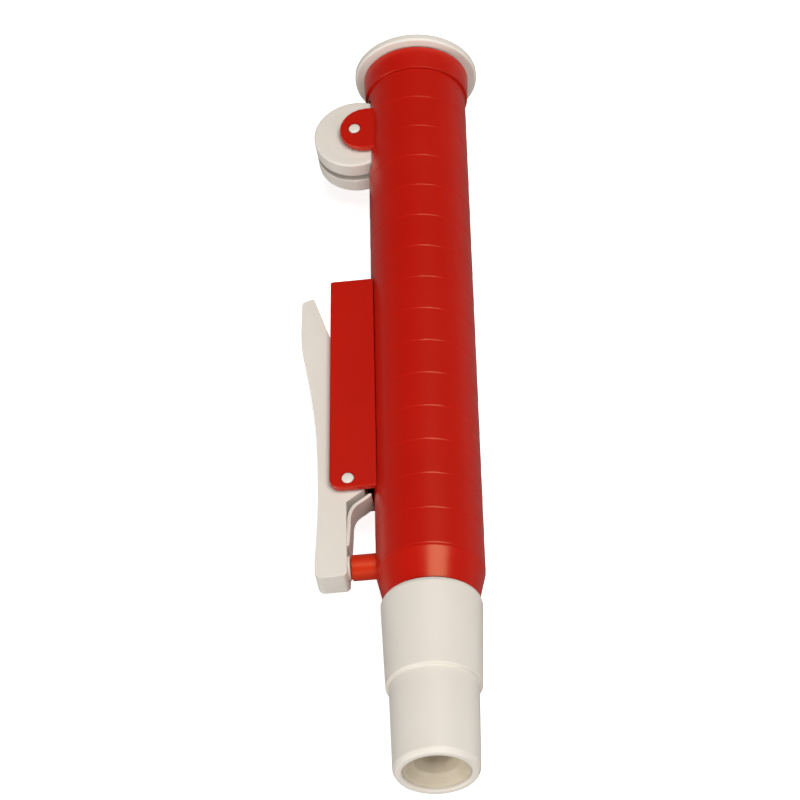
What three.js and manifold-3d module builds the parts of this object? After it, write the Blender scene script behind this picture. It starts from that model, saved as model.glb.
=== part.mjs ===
// A pipette pump for large pipettes: a ringed barrel with a piston that a thumb wheel winds along a rack,
// a nose that grips the pipette's top, and a sprung side lever that opens a vent to let the liquid out fast.
// Y runs along the barrel from the nose's mouth to the thumb plate, the lever and wheel stand on the -X
// side, and Z is across the wheel. The pump lies level, its box centred over the origin.
import * as THREE from "three";
import { mergeVertices } from "three/addons/utils/BufferGeometryUtils.js";
import Module from "manifold-3d";

const wasm = await Module();
wasm.setup();

// Driving dimensions, in millimetres. Heights along Y are counted from the nose's mouth.
const LENGTH = 204.8;
const STROKE = 70; // how far the piston travels; joints in the record use the same number
const GAP = 0.3; // between pieces that touch
const RUNNING = 0.08; // radial clearance of a pin in its hole
const ROUND = 48; // sides of a large round
const SMALL_ROUND = 24;

const BARREL = { outer: 12.5, bore: 11, bottom: 44.5, chamferTop: 51.8, chamferR: 10.9, floor: 52.5, top: 195.5 };
const SPIGOT = { outer: 8.4, bottom: 30, passage: 2, groove: [38, 41], grooveR: 7.4 };
const CAP = { outer: 13.5, guide: 9.5, bottom: 195.8, top: 202.3, plugR: 10.7, plugBottom: 193.6 };
const PLATE = { outer: 15.5, bottom: 202.6, pegR: 2, pegBottom: 196 };
const NOSE = { mouth: 7.75, socket: 8.7, shelf: 29.7, top: 44.2 };
const GRIP = { outer: 7.45, bottom: 1, top: 29.4, throat: 3.9, passage: 2.2 };
const WHEEL = { x: -15.2, y: 182.35, r: 10.5, inner: 0.95, outer: 5.05, hubR: 3.2 };
const GEAR = { module: 1, teeth: 14, pressure: Math.PI / 9, halfWidth: 0.7, slack: 0.1 };
const EAR = { x: -12.4, y: 182.35, r: 6.5, inner: 5.4, outer: 7 };
const SLOT = { bottom: 171.5, top: 193.2 };
const PIN_R = 1.5;
const HOUSING = { bottom: 74.4, top: 135.3, edgeBottom: -22.6, edgeTop: -21.8, corner: 3, inner: 3.9, outer: 5.5 };
const PIVOT = { x: -18.2, y: 77 };
const LEVER = { inner: -18.9, half: 3.5, bottom: 51.4, lug: -14.6 };
const VENT = { y: 55.5, outer: 3.05, bore: 1.2, end: -18.1 };
const PAD = { r: 2.9, outer: -20, inner: -18.3 };
const PISTON = { bottom: 58, top: 68, r: 10.5, grooves: [60.5, 65.5], grooveR: 9.2, grooveHalf: 1 };
const ROD = { rib: 0.8, rackRib: 0.6, reach: 9, rackBottom: 104, rackTop: 191, footR: 9.5, pegR: 3, pegBottom: 61 };

const RED = new THREE.MeshStandardMaterial({ color: 0xb4140c, roughness: 0.32, metalness: 0 });
const WHITE = new THREE.MeshStandardMaterial({ color: 0xe2dbd0, roughness: 0.45, metalness: 0 });
const SOFT = new THREE.MeshStandardMaterial({ color: 0xa89f88, roughness: 0.6, metalness: 0 });
const RUBBER = new THREE.MeshStandardMaterial({ color: 0x2a2a2a, roughness: 0.8, metalness: 0 });
const SILICONE = new THREE.MeshStandardMaterial({ color: 0xdcd0c6, roughness: 0.55, metalness: 0 });
const STUB_RED = new THREE.MeshStandardMaterial({ color: 0xc83214, roughness: 0.4, metalness: 0 });

/** A closed geometry as a solid that can be joined and cut. */
function solid(geometry) {
  const bare = geometry.clone();
  bare.deleteAttribute("normal");
  bare.deleteAttribute("uv");
  const merged = mergeVertices(bare, 1e-4);
  const mesh = new wasm.Mesh({
    numProp: 3,
    vertProperties: merged.attributes.position.array,
    triVerts: new Uint32Array(merged.index.array),
  });
  return new wasm.Manifold(mesh);
}

/** A round solid about the Y axis from [radius, height] points that start and end on the axis. */
function turned(points, sides = ROUND) {
  const profile = points.map(([r, y]) => new THREE.Vector2(r, y));
  return solid(new THREE.LatheGeometry(profile, sides));
}

/** A ring about the Y axis from the [radius, height] corners of its section, anticlockwise. */
function ring(points, sides = ROUND) {
  return turned([...points, points[0]], sides);
}

/** A flat outline in X and Y, given thickness from one Z to another. */
function slab(shape, low, high, curveSegments = 12) {
  const settings = { depth: high - low, bevelEnabled: false, curveSegments };
  return solid(new THREE.ExtrudeGeometry(shape, settings).translate(0, 0, low));
}

/** A box between two corners. */
function block([x0, y0, z0], [x1, y1, z1]) {
  const box = new THREE.BoxGeometry(x1 - x0, y1 - y0, z1 - z0);
  return solid(box.translate((x0 + x1) / 2, (y0 + y1) / 2, (z0 + z1) / 2));
}

/** A cylinder along Z, centred on the given X and Y. */
function rodAlongZ({ x, y }, radius, low, high, sides = SMALL_ROUND) {
  const rod = new THREE.CylinderGeometry(radius, radius, high - low, sides).rotateX(Math.PI / 2);
  return solid(rod.translate(x, y, (low + high) / 2));
}

/** A cylinder along X at one height. */
function rodAlongX(y, radius, low, high, sides = SMALL_ROUND) {
  const rod = new THREE.CylinderGeometry(radius, radius, high - low, sides).rotateZ(Math.PI / 2);
  return solid(rod.translate((low + high) / 2, y, 0));
}

/** A finished solid as a named mesh. */
function piece(name, shape, material) {
  const { vertProperties, triVerts } = shape.getMesh();
  const geometry = new THREE.BufferGeometry();
  geometry.setAttribute("position", new THREE.BufferAttribute(vertProperties, 3));
  geometry.setIndex(new THREE.BufferAttribute(triVerts, 1));
  geometry.computeVertexNormals();
  const mesh = new THREE.Mesh(geometry, material);
  mesh.name = name;
  return mesh;
}

/** The two ears beside the wheel's slot, D-shaped in side view. */
function wheelEars() {
  const outline = new THREE.Shape();
  const root = -BARREL.bore;
  outline.moveTo(root, EAR.y + EAR.r);
  outline.lineTo(EAR.x, EAR.y + EAR.r);
  outline.absarc(EAR.x, EAR.y, EAR.r, Math.PI / 2, Math.PI * 1.5, false);
  outline.lineTo(root, EAR.y - EAR.r);
  outline.closePath();
  return slab(outline, EAR.inner, EAR.outer).add(slab(outline, -EAR.outer, -EAR.inner));
}

/** The barrel: tube, floor and spigot in one, with the wheel's slot and ears and the vent hole. */
function barrel() {
  const { outer, bore, bottom, chamferTop, chamferR, floor, top } = BARREL;
  const [grooveLow, grooveHigh] = SPIGOT.groove;
  const tube = ring([
    [SPIGOT.passage, SPIGOT.bottom],
    [SPIGOT.outer, SPIGOT.bottom],
    [SPIGOT.outer, grooveLow],
    [SPIGOT.grooveR, grooveLow],
    [SPIGOT.grooveR, grooveHigh],
    [SPIGOT.outer, grooveHigh],
    [SPIGOT.outer, bottom],
    [chamferR, bottom],
    [outer, chamferTop],
    [outer, top],
    [bore, top],
    [bore, floor],
    [SPIGOT.passage, floor],
  ]);
  const boreSpace = turned([[0, floor], [bore, floor], [bore, top], [0, top]]);
  const slot = block([-2 * outer, SLOT.bottom, -EAR.inner], [-bore / 2, SLOT.top, EAR.inner]);
  const pinHole = rodAlongZ(WHEEL, PIN_R + RUNNING, -2 * EAR.outer, 2 * EAR.outer);
  const ventHole = rodAlongX(VENT.y, VENT.bore, -2 * outer, -bore / 2);
  return tube.add(wheelEars().subtract(boreSpace)).subtract(slot).subtract(pinHole).subtract(ventHole);
}

/** The red collar pressed into the barrel's top, which guides the plunger. */
function endCap() {
  const { outer, guide, bottom, top, plugR, plugBottom } = CAP;
  return ring([
    [guide, plugBottom],
    [plugR, plugBottom],
    [plugR, bottom],
    [outer, bottom],
    [outer, top],
    [guide, top],
  ]);
}

/** The saddle on the barrel's side that carries the lever: two cheeks and a web behind them. */
function leverHousing() {
  const { bottom, top, edgeBottom, edgeTop, corner, inner, outer } = HOUSING;
  const web = { bottom: 98, thickness: 1 };
  const cheek = new THREE.Shape();
  cheek.moveTo(-BARREL.bore, top);
  cheek.lineTo(edgeTop, top);
  cheek.lineTo(edgeBottom, bottom + corner);
  cheek.absarc(edgeBottom + corner, bottom + corner, corner, Math.PI, Math.PI * 1.5, false);
  cheek.lineTo(-BARREL.bore, bottom);
  cheek.closePath();
  const cheeks = slab(cheek, inner, outer).add(slab(cheek, -outer, -inner));
  const backing = block([-BARREL.outer - GAP - web.thickness, web.bottom, -outer], [-BARREL.bore, top, outer]);
  const clear = BARREL.outer + GAP;
  const barrelSpace = turned([[0, bottom - 1], [clear, bottom - 1], [clear, top + 1], [0, top + 1]]);
  const pinHole = rodAlongZ(PIVOT, PIN_R + RUNNING, -2 * outer, 2 * outer);
  return cheeks.add(backing).subtract(barrelSpace).subtract(pinHole);
}

/** The vent's short tube, from the barrel wall out to the lever's pad. */
function ventNozzle() {
  const tube = rodAlongX(VENT.y, VENT.outer, VENT.end, -BARREL.bore);
  const clear = BARREL.outer + GAP;
  const barrelSpace = turned([[0, 50], [clear, 50], [clear, 61], [0, 61]]);
  return tube.subtract(barrelSpace).subtract(rodAlongX(VENT.y, VENT.bore, -2 * clear, 0));
}

/** The nose: a tapered, stepped sleeve over the barrel's spigot, open at the mouth. */
function nose() {
  return ring([
    [NOSE.mouth, 0],
    [9.05, 0],
    [9.6, 0.3],
    [9.85, 1.1],
    [10.12, 20.6],
    [11, 22.5],
    [11.68, 43.4],
    [11.45, 44],
    [10.9, NOSE.top],
    [NOSE.socket, NOSE.top],
    [NOSE.socket, NOSE.shelf],
    [NOSE.mouth, NOSE.shelf],
  ]);
}

/** The soft liner inside the nose: a cone that leads the pipette's top into the throat. */
function pipetteGrip() {
  const { outer, bottom, top, throat, passage } = GRIP;
  return ring([
    [6.9, bottom],
    [outer, bottom + 0.4],
    [outer, top],
    [passage, top],
    [passage, 22.5],
    [throat, 20],
    [throat, 8],
    [5.2, 4.6],
  ]);
}

/** A seal ring of rounded section, centred at one height. */
function sealRing(inner, outer, y, halfHeight) {
  const cut = (outer - inner) / 4;
  return ring([
    [inner, y - halfHeight],
    [outer - cut, y - halfHeight],
    [outer, y - halfHeight + cut],
    [outer, y + halfHeight - cut],
    [outer - cut, y + halfHeight],
    [inner, y + halfHeight],
  ]);
}

/** The piston: a short drum with two seal grooves and a socket for the rod's peg. */
function pistonHead() {
  const { bottom, top, r, grooves, grooveR, grooveHalf } = PISTON;
  const notches = grooves.flatMap((y) => [
    [r, y - grooveHalf],
    [grooveR, y - grooveHalf],
    [grooveR, y + grooveHalf],
    [r, y + grooveHalf],
  ]);
  const socket = ROD.pegR + GAP;
  const socketFloor = ROD.pegBottom - GAP;
  return turned([
    [0, bottom],
    [r, bottom],
    ...notches,
    [r, top],
    [socket, top],
    [socket, socketFloor],
    [0, socketFloor],
  ]);
}

/** One rack tooth in X and Y, pointing to -X, centred at the given height. */
function rackTooth(y) {
  const pitchLine = WHEEL.x + (GEAR.module * GEAR.teeth) / 2;
  const addendum = 0.8 * GEAR.module;
  const dedendum = 1.15 * GEAR.module;
  const halfAtPitch = (Math.PI * GEAR.module) / 4 - GEAR.slack;
  const lean = Math.tan(GEAR.pressure);
  const tip = halfAtPitch - addendum * lean;
  const foot = halfAtPitch + dedendum * lean;
  const root = pitchLine + dedendum;
  const tooth = new THREE.Shape();
  tooth.moveTo(root + 0.2, y + foot);
  tooth.lineTo(root, y + foot);
  tooth.lineTo(pitchLine - addendum, y + tip);
  tooth.lineTo(pitchLine - addendum, y - tip);
  tooth.lineTo(root, y - foot);
  tooth.lineTo(root + 0.2, y - foot);
  tooth.closePath();
  return slab(tooth, -ROD.rackRib, ROD.rackRib);
}

/** The plunger's rod: a cross in section, one rib toothed as a rack, with a peg for the piston. */
function plungerRod() {
  const bottom = PISTON.top + GAP;
  const top = CAP.top;
  const rackRoot = WHEEL.x + (GEAR.module * GEAR.teeth) / 2 + 1.15 * GEAR.module;
  let rod = block([-ROD.rib, bottom, -ROD.reach], [ROD.rib, top, ROD.reach]);
  rod = rod.add(block([rackRoot, bottom, -ROD.rackRib], [ROD.reach, top, ROD.rackRib]));
  const peg = [
    [0, ROD.pegBottom],
    [ROD.pegR, ROD.pegBottom],
    [ROD.pegR, bottom + 1],
    [0, bottom + 1],
  ];
  rod = rod.add(turned(peg, SMALL_ROUND));
  rod = rod.add(turned([[0, bottom], [ROD.footR, bottom], [ROD.footR, bottom + 1.6], [0, bottom + 1.6]]));
  rod = rod.add(turned([[0, 189.3], [4.2, 194.6], [4.2, top], [0, top]], SMALL_ROUND));
  const pitch = Math.PI * GEAR.module;
  const firstTooth = WHEEL.y + pitch / 2 - Math.floor((WHEEL.y - ROD.rackBottom) / pitch) * pitch;
  for (let y = firstTooth; y < ROD.rackTop; y += pitch) {
    rod = rod.add(rackTooth(y));
  }
  const pegHole = PLATE.pegBottom - GAP;
  const pegClear = PLATE.pegR + GAP;
  const socket = [
    [0, pegHole],
    [pegClear, pegHole],
    [pegClear, top + 1],
    [0, top + 1],
  ];
  return rod.subtract(turned(socket, SMALL_ROUND));
}

/** The round plate that the thumb presses, with the peg that snaps into the rod. */
function thumbPlate() {
  const { outer, bottom, pegR, pegBottom } = PLATE;
  return turned([
    [0, pegBottom],
    [pegR, pegBottom],
    [pegR, bottom],
    [outer - 0.5, bottom],
    [outer, bottom + 0.5],
    [outer, LENGTH - 0.6],
    [outer - 0.6, LENGTH],
    [0, LENGTH],
  ]);
}

/** The outline of an involute pinion about its own centre, with one tooth pointing to +X. */
function pinionOutline() {
  const pitchR = (GEAR.module * GEAR.teeth) / 2;
  const baseR = pitchR * Math.cos(GEAR.pressure);
  const tipR = pitchR + 0.9 * GEAR.module;
  const rootR = pitchR - 1.1 * GEAR.module;
  const involute = (radius) => Math.tan(Math.acos(baseR / radius)) - Math.acos(baseR / radius);
  const halfPitchAngle = Math.PI / (2 * GEAR.teeth) - GEAR.slack / pitchR;
  const halfAngle = (radius) => halfPitchAngle + involute(pitchR) - involute(Math.max(radius, baseR));
  const radii = [rootR, baseR, pitchR - 0.1, pitchR + 0.4, tipR];
  const at = (radius, angle) => new THREE.Vector2(radius * Math.cos(angle), radius * Math.sin(angle));
  const outline = [];
  for (let tooth = 0; tooth < GEAR.teeth; tooth++) {
    const middle = (tooth * 2 * Math.PI) / GEAR.teeth;
    radii.forEach((r) => outline.push(at(r, middle - halfAngle(r))));
    [...radii].reverse().forEach((r) => outline.push(at(r, middle + halfAngle(r))));
  }
  return new THREE.Shape(outline);
}

/** The pinion between the wheel's discs, on a hub that carries them both. */
function drivePinion() {
  const teeth = slab(pinionOutline(), -GEAR.halfWidth, GEAR.halfWidth).translate([WHEEL.x, WHEEL.y, 0]);
  const hub = rodAlongZ(WHEEL, WHEEL.hubR, -WHEEL.outer, WHEEL.outer);
  return teeth.add(hub).subtract(rodAlongZ(WHEEL, PIN_R + RUNNING, -2 * WHEEL.outer, 2 * WHEEL.outer));
}

/** One of the thumb wheel's discs, on the +Z or -Z side. */
function wheelDisc(side) {
  const faces = [side * WHEEL.inner, side * WHEEL.outer].sort((a, b) => a - b);
  const disc = rodAlongZ(WHEEL, WHEEL.r, faces[0], faces[1], ROUND);
  return disc.subtract(rodAlongZ(WHEEL, WHEEL.hubR + RUNNING, -2 * WHEEL.outer, 2 * WHEEL.outer));
}

/** The lever's side outline: a waisted thumb piece above, a straight arm below, and a lug at the pivot. */
function leverOutline() {
  const { inner, bottom, lug } = LEVER;
  const back = [
    [-29.1, 130.6],
    [-29.2, 117.8],
    [-27.2, 104.8],
    [-25.8, 90.6],
    [-25.5, 72.4],
    [-26.3, 56.8],
    [-26.4, 52.8],
  ].map(([x, y]) => new THREE.Vector2(x, y));
  const outline = new THREE.Shape();
  outline.moveTo(-26.1, 132.1);
  outline.lineTo(-28.4, 131.3);
  outline.quadraticCurveTo(-29.1, 131.1, back[0].x, back[0].y);
  outline.splineThru(back.slice(1));
  outline.quadraticCurveTo(-26.3, bottom, -24.8, bottom);
  outline.lineTo(inner - 1, bottom);
  outline.lineTo(inner, bottom + 1);
  outline.lineTo(inner, 71.6);
  outline.lineTo(lug, 74.7);
  outline.lineTo(lug, PIVOT.y + 2);
  outline.lineTo(inner, PIVOT.y + 7);
  outline.lineTo(inner, 108);
  outline.lineTo(-22, 119);
  outline.closePath();
  return outline;
}

/** The release lever, with a pocket for the vent's pad and a slot for the spring's foot. */
function lever() {
  const body = slab(leverOutline(), -LEVER.half, LEVER.half, 6);
  const pinHole = rodAlongZ(PIVOT, PIN_R + RUNNING, -2 * LEVER.half, 2 * LEVER.half);
  const padPocket = rodAlongX(VENT.y, PAD.r + GAP, PAD.outer - GAP, -BARREL.outer);
  const footSlot = block([-21.3, 59.7, -1.8], [-BARREL.outer, 62.3, 1.8]);
  return body.subtract(pinHole).subtract(padPocket).subtract(footSlot);
}

/** The leaf that pushes the lever shut: a foot in the lever, a curve across to the barrel, and a short toe. */
function leverSpring() {
  const half = 2.9;
  const near = LEVER.inner + GAP;
  const far = -BARREL.outer - GAP;
  const leaf = new THREE.Shape();
  leaf.moveTo(near, 59.4);
  leaf.lineTo(near + 0.8, 59.8);
  leaf.bezierCurveTo(near + 0.85, 66, near + 1.1, 69, -16.4, 70.4);
  leaf.quadraticCurveTo(-13.2, 72.2, far, 73.6);
  leaf.lineTo(far - 0.5, 74.2);
  leaf.quadraticCurveTo(-13.9, 73.2, -16.9, 71.4);
  leaf.bezierCurveTo(near + 0.2, 70.2, near, 67.5, near, 63);
  leaf.closePath();
  const foot = block([-21, 60, -1.5], [near + 0.2, 62, 1.5]);
  return slab(leaf, -half, half, 5).add(foot);
}

const pump = new THREE.Group();
pump.add(piece("barrel", barrel(), RED));
pump.add(piece("end_cap", endCap(), RED));
pump.add(piece("lever_housing", leverHousing(), RED));
pump.add(piece("vent_nozzle", ventNozzle(), STUB_RED));
pump.add(piece("nose", nose(), WHITE));
pump.add(piece("pipette_grip", pipetteGrip(), SOFT));
pump.add(piece("nose_seal", sealRing(SPIGOT.grooveR + GAP, 8.6, 39.5, 1), RUBBER));
pump.add(piece("plunger_rod", plungerRod(), WHITE));
pump.add(piece("thumb_plate", thumbPlate(), WHITE));
pump.add(piece("piston_head", pistonHead(), WHITE));
["piston_seal_front", "piston_seal_rear"].forEach((name, i) => {
  const seal = sealRing(PISTON.grooveR + GAP, 10.88, PISTON.grooves[i], PISTON.grooveHalf - 0.25);
  pump.add(piece(name, seal, RUBBER));
});
pump.add(piece("drive_pinion", drivePinion(), WHITE));
pump.add(piece("wheel_front_disc", wheelDisc(1), WHITE));
pump.add(piece("wheel_rear_disc", wheelDisc(-1), WHITE));
pump.add(piece("wheel_pin", rodAlongZ(WHEEL, PIN_R, -EAR.outer - 0.3, EAR.outer + 0.3), WHITE));
pump.add(piece("lever", lever(), WHITE));
pump.add(piece("lever_pin", rodAlongZ(PIVOT, PIN_R, -HOUSING.outer - 0.3, HOUSING.outer + 0.3), WHITE));
pump.add(piece("lever_spring", leverSpring(), WHITE));
pump.add(piece("valve_pad", rodAlongX(VENT.y, PAD.r, PAD.outer, PAD.inner), SILICONE));

// The origin is under the middle of the pump's box, level with its lowest point.
const box = new THREE.Box3().setFromObject(pump);
const middle = box.getCenter(new THREE.Vector3());
pump.position.set(-middle.x, -middle.y, -box.min.z);

export default pump;
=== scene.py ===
"""A pipette pump: its visible pieces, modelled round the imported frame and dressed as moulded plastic.

Each piece is shaped on the bench in millimetres, with the nose's mouth at the origin, Y along the barrel
towards the thumb plate, the wheel and lever on the -X side and Z across them. A finished piece is then
moved to its place in the frame, in metres.
"""

import logging
import math
from dataclasses import dataclass
from enum import Enum
from itertools import pairwise
from typing import Iterable, Sequence

import bpy
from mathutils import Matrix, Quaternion, Vector


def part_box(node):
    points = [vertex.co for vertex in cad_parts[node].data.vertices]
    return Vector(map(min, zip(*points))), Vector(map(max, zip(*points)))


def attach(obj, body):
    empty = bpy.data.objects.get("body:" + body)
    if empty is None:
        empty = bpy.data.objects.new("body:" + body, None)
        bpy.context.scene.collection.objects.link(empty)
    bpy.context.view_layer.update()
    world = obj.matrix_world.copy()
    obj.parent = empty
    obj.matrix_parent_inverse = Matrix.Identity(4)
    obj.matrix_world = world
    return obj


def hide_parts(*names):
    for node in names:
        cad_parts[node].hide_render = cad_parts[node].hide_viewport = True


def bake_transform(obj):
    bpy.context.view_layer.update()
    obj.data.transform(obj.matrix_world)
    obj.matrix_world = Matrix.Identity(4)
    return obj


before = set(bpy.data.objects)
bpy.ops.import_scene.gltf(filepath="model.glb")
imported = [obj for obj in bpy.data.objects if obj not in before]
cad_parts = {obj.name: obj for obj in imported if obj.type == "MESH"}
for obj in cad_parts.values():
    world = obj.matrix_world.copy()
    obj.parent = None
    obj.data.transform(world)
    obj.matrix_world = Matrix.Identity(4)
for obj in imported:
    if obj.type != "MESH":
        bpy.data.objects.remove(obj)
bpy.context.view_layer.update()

log = logging.getLogger("pipette_pump")

MM = 0.001
FULL_TURN = 2 * math.pi
ROUND_SIDES = 128  # sides of a barrel-sized round
PIN_SIDES = 48
RUNNING = 0.08  # a pin's radial clearance in its hole, in millimetres
THROUGH = 10.0  # half the length of a hole that goes right through, in millimetres
SEAM = 0.0005  # points closer than this, in millimetres, are one point
SHARP = math.radians(32)  # edges sharper than this stay sharp in shading

Colour = tuple[float, float, float]
Piece = bpy.types.Object
Tree = bpy.types.NodeTree
Node = bpy.types.Node
Socket = bpy.types.NodeSocket


# --- The bench: outlines, and the operators that give them shape ---------------------------------------


class Join(Enum):
    """How one solid meets another."""

    WELD = "UNION"
    CUT = "DIFFERENCE"


class Body(Enum):
    """The frame's moving bodies, by their names there."""

    BARREL = "barrel"
    PLUNGER = "plunger"
    WHEEL = "wheel"
    LEVER = "lever"


@dataclass(frozen=True)
class Corner:
    """A corner of an outline, and the radius that rounds it.

    Args:
        across: Distance from the axis, or the place along X.
        along: The place along Y.
        radius: The rounding's radius, or nought for a sharp corner.
    """

    across: float
    along: float
    radius: float = 0.0

    @property
    def place(self) -> Vector:
        """The corner as a point in the outline's plane."""
        return Vector((self.across, self.along))


def rounding(before: Corner, corner: Corner, after: Corner) -> list[Vector]:
    """The points of the arc that rounds one corner.

    Args:
        before: The corner before it.
        corner: The corner itself.
        after: The corner after it.

    Returns:
        The arc's points in order, or the corner alone where it is sharp.
    """
    here = corner.place
    back, on = before.place - here, after.place - here
    half = back.angle(on) / 2
    if corner.radius == 0 or half > math.radians(89):
        return [here]
    room = [side.length * (0.5 if near.radius else 1.0) for side, near in ((back, before), (on, after))]
    reach = min(corner.radius / math.tan(half), *room)
    radius = reach * math.tan(half)
    centre = here + (back.normalized() + on.normalized()).normalized() * (radius / math.sin(half))
    start = here + back.normalized() * reach - centre
    end = here + on.normalized() * reach - centre
    turn = math.atan2(start.x * end.y - start.y * end.x, start.dot(end))
    steps = max(2, math.ceil(abs(turn) / math.radians(15)))
    first = math.atan2(start.y, start.x)
    angles = [first + turn * step / steps for step in range(steps + 1)]
    return [centre + radius * Vector((math.cos(a), math.sin(a))) for a in angles]


def outline(corners: Sequence[Corner], closed: bool = True) -> list[Vector]:
    """An outline with its corners rounded.

    Args:
        corners: The corners in order.
        closed: Whether the last corner leads back to the first.

    Returns:
        The outline's points, with the first repeated at the end where it is closed.
    """
    count = len(corners)
    points: list[Vector] = []
    for index, corner in enumerate(corners):
        if not closed and index in (0, count - 1):
            points.append(corner.place)
            continue
        points.extend(rounding(corners[index - 1], corner, corners[(index + 1) % count]))
    if closed:
        points.append(points[0])
    return points


def smooth_path(points: Sequence[tuple[float, float]], steps: int = 6) -> list[Vector]:
    """A smooth curve through the given points.

    Args:
        points: The points that the curve passes through.
        steps: Pieces between each two of them.

    Returns:
        The curve's points, ends included.
    """
    given = [Vector(p) for p in points]
    padded = [2 * given[0] - given[1], *given, 2 * given[-1] - given[-2]]
    curve: list[Vector] = []
    for a, b, c, d in zip(padded, padded[1:], padded[2:], padded[3:]):
        for step in range(steps):
            t = step / steps
            square, cube = (2 * a - 5 * b + 4 * c - d) * t**2, (3 * b - a - 3 * c + d) * t**3
            curve.append(0.5 * (2 * b + (c - a) * t + square + cube))
    return [*curve, given[-1]]


def ribbon(path: Sequence[Vector], thickness: float) -> list[Vector]:
    """The outline of a strip of even thickness along a path, with round ends.

    Args:
        path: The strip's centre line.
        thickness: The strip's thickness.

    Returns:
        The closed outline's points.
    """
    half = thickness / 2
    ways = [(b - a).normalized() for a, b in pairwise(path)]
    ways = [ways[0], *[(a + b).normalized() for a, b in pairwise(ways)], ways[-1]]
    sides = [Vector((-way.y, way.x)) * half for way in ways]
    left = [point + side for point, side in zip(path, sides)]
    right = [point - side for point, side in zip(path, sides)]
    end_cap = [path[-1] + ways[-1] * half]
    start_cap = [path[0] - ways[0] * half]
    return [*left, *end_cap, *reversed(right), *start_cap, left[0]]


def clear_selection() -> None:
    """Leaves edit mode and selects nothing."""
    if bpy.context.object and bpy.context.object.mode != "OBJECT":
        bpy.ops.object.mode_set(mode="OBJECT")
    bpy.ops.object.select_all(action="DESELECT")


def pick(piece: Piece) -> None:
    """Makes one piece the selected and active one."""
    clear_selection()
    piece.select_set(True)
    bpy.context.view_layer.objects.active = piece


def draw_line(name: str, points: Sequence[Vector]) -> Piece:
    """Draws a line of edges by extruding one point, and stays in edit mode with all of it selected.

    Args:
        name: The new piece's name.
        points: The line's points, in the XY plane.

    Returns:
        The new piece.
    """
    clear_selection()
    bpy.ops.mesh.primitive_plane_add(size=1)
    piece = bpy.context.object
    piece.name = name
    bpy.ops.object.mode_set(mode="EDIT")
    bpy.ops.mesh.select_mode(type="VERT")
    bpy.ops.mesh.select_all(action="SELECT")
    bpy.ops.mesh.merge(type="CENTER")
    bpy.ops.transform.translate(value=points[0].to_3d())
    for here, there in pairwise(points):
        bpy.ops.mesh.extrude_vertices_move(TRANSFORM_OT_translate={"value": (there - here).to_3d()})
    bpy.ops.mesh.select_all(action="SELECT")
    return piece


def close_up() -> None:
    """Merges seams and poles, points the faces outwards, and leaves edit mode."""
    bpy.ops.mesh.select_all(action="SELECT")
    bpy.ops.mesh.remove_doubles(threshold=SEAM)
    bpy.ops.mesh.dissolve_degenerate(threshold=SEAM / 5)
    bpy.ops.mesh.select_all(action="SELECT")
    bpy.ops.mesh.normals_make_consistent(inside=False)
    bpy.ops.object.mode_set(mode="OBJECT")


def turned(name: str, section: Sequence[Vector], sides: int = ROUND_SIDES) -> Piece:
    """A round piece about the Y axis, spun from its section.

    Args:
        name: The new piece's name.
        section: The section's points, closed on itself or starting and ending on the axis.
        sides: How many flats make the round.

    Returns:
        The new piece.
    """
    piece = draw_line(name, section)
    bpy.ops.mesh.spin(steps=sides, angle=FULL_TURN, center=(0, 0, 0), axis=(0, 1, 0), use_auto_merge=True)
    close_up()
    return piece


def slab(name: str, closed_outline: Sequence[Vector], low: float, high: float) -> Piece:
    """A flat piece: an outline in the XY plane, extruded from one Z to another.

    Args:
        name: The new piece's name.
        closed_outline: The outline's points, with the first repeated at the end.
        low: The lower face's Z.
        high: The upper face's Z.

    Returns:
        The new piece.
    """
    piece = draw_line(name, closed_outline)
    bpy.ops.mesh.remove_doubles(threshold=SEAM)
    bpy.ops.transform.translate(value=(0, 0, low))
    bpy.ops.mesh.edge_face_add()
    bpy.ops.mesh.extrude_region_move(TRANSFORM_OT_translate={"value": (0, 0, high - low)})
    close_up()
    return piece


def disc_section(radius: float, low: float, high: float, edge: float, dome: float = 0.0) -> list[Vector]:
    """The section of a solid drum from the axis, with rounded edges.

    Args:
        radius: The drum's radius.
        low: Where it starts along its axis.
        high: Where it ends.
        edge: The radius of its edges.
        dome: How far the middle of each end stands out.

    Returns:
        The section's points, from the axis and back to it.
    """
    corners = [
        Corner(0, low - dome),
        Corner(0.5 * radius, low - 0.75 * dome, radius),
        Corner(radius, low, edge),
        Corner(radius, high, edge),
        Corner(0.5 * radius, high + 0.75 * dome, radius),
        Corner(0, high + dome),
    ]
    return outline(corners, closed=False)


def swing(piece: Piece, turn: tuple[str, float], place: Sequence[float]) -> Piece:
    """Turns a new piece about the bench's origin, then moves it.

    Args:
        piece: The piece, which stands along Y.
        turn: The axis to turn about and the angle.
        place: How far to move it afterwards.

    Returns:
        The same piece.
    """
    pick(piece)
    axis, angle = turn
    piece.rotation_euler["XYZ".index(axis)] = angle
    piece.location = place
    bpy.ops.object.transform_apply(location=True, rotation=True, scale=True)
    return piece


def along_x(name: str, radius: float, low: float, high: float, y: float, edge: float = 0.0) -> Piece:
    """A drum along X at one height on the barrel.

    Args:
        name: The new piece's name.
        radius: Its radius.
        low: Its lower X.
        high: Its higher X.
        y: Its height along the barrel.
        edge: The radius of its edges.

    Returns:
        The new piece.
    """
    drum = turned(name, disc_section(radius, low, high, edge), PIN_SIDES)
    return swing(drum, ("Z", -math.pi / 2), (0, y, 0))


def along_z(
    name: str, section: Sequence[Vector], x: float, y: float, sides: int = PIN_SIDES
) -> Piece:
    """A round piece whose axis runs along Z.

    Args:
        name: The new piece's name.
        section: Its section, with the height along its axis as Y.
        x: Its axis's X.
        y: Its axis's Y.
        sides: How many flats make the round.

    Returns:
        The new piece.
    """
    return swing(turned(name, section, sides), ("X", math.pi / 2), (x, y, 0))


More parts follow.
